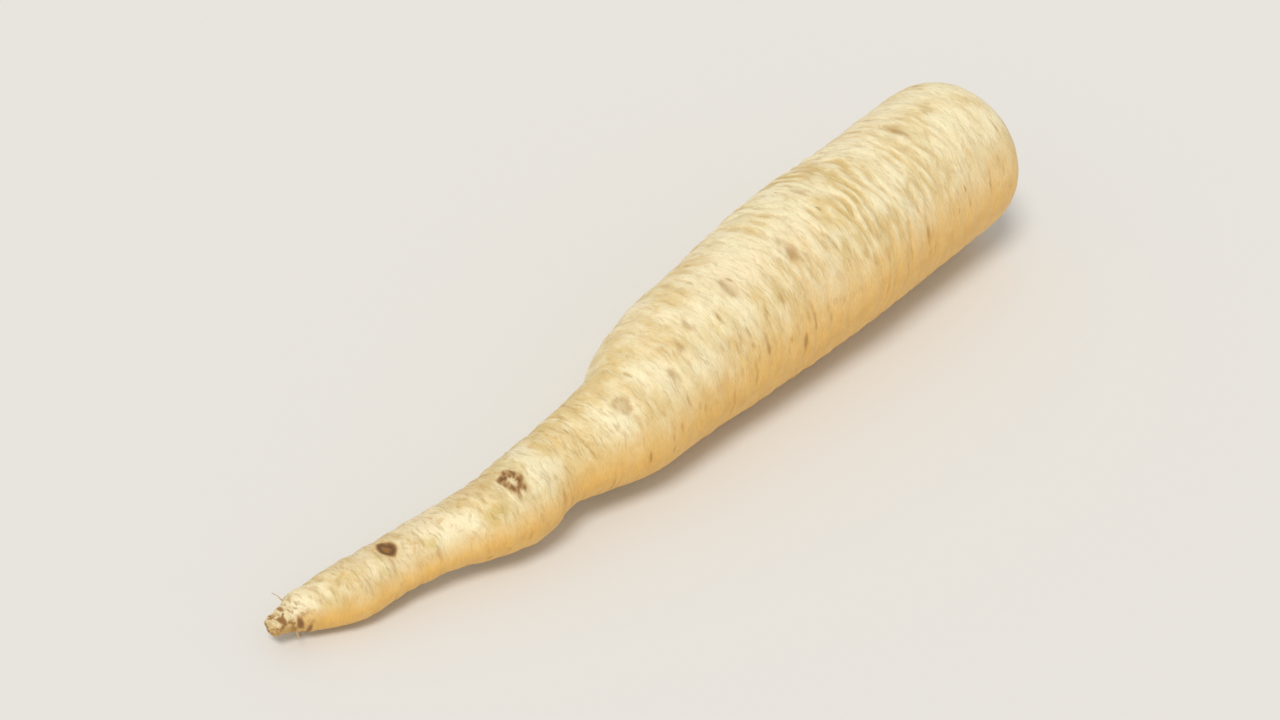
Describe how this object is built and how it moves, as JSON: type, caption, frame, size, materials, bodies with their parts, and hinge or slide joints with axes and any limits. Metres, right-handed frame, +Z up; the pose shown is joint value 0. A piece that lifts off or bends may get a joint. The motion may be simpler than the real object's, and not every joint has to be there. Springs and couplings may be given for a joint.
{
  "type": "root parsley",
  "caption": "Whole root parsley taproot, washed and topped: a ringed, rounded body with a leaf-scarred crown and a bent, tapering tail, lying on its side.",
  "frame": {"origin": "middle of the root's bounding box in plan, at the level of the surface that it lies on", "axes": "+X along the root from the tip of the tail towards the crown, +Z up"},
  "size_m": [0.2182, 0.039, 0.0396],
  "materials": {
    "skin": "matte"
  },
  "bodies": {
    "root": {"taproot": "skin"}
  },
  "joints": []
}
